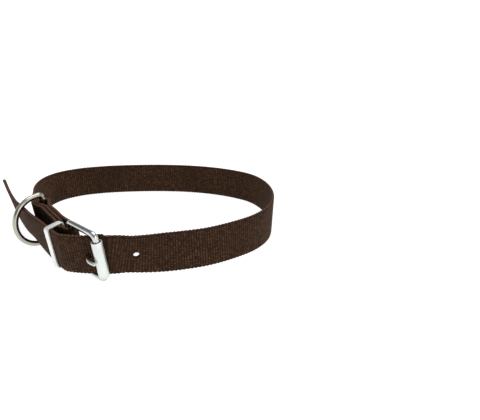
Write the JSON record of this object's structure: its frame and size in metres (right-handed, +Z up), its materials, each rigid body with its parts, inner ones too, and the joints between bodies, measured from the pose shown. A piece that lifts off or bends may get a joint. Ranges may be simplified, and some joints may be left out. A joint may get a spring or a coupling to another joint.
{
  "type": "dog collar",
  "caption": "Buckled webbing dog collar standing on its edge, with a roller buckle, a metal keeper, a D ring in the fold and a free tail through the ring.",
  "frame": {"origin": "on the ground under the middle of the collar's bounding box", "axes": "+X to the right and +Y away from a viewer who faces the buckle, +Z up, across the webbing's width; the collar's longest way is along X"},
  "size_m": [0.214, 0.1694, 0.0362],
  "materials": {
    "webbing": "dark brown ribbed nylon webbing with small scalloped selvedges",
    "plated_steel": "bright nickel plate on steel wire and strip"
  },
  "bodies": {
    "collar": {"strap": "webbing", "buckle_frame": "plated_steel", "prong": "plated_steel", "keeper": "plated_steel"},
    "ring": {"d_ring": "plated_steel"},
    "roller": {"roller": "plated_steel"}
  },
  "joints": [
    {"name": "ring_swing", "type": "hinge", "parent": "collar", "child": "ring", "pos_m": [-0.0482, -0.02216, 0.01864], "axis": [-0.0699, -0.0777, 0.9945], "range_deg": [-26, 3]},
    {"name": "roller_spin", "type": "hinge", "parent": "collar", "child": "roller", "pos_m": [0.00402, -0.07923, 0.01576], "axis": [-0.0699, -0.0777, 0.9945], "continuous": true}
  ]
}
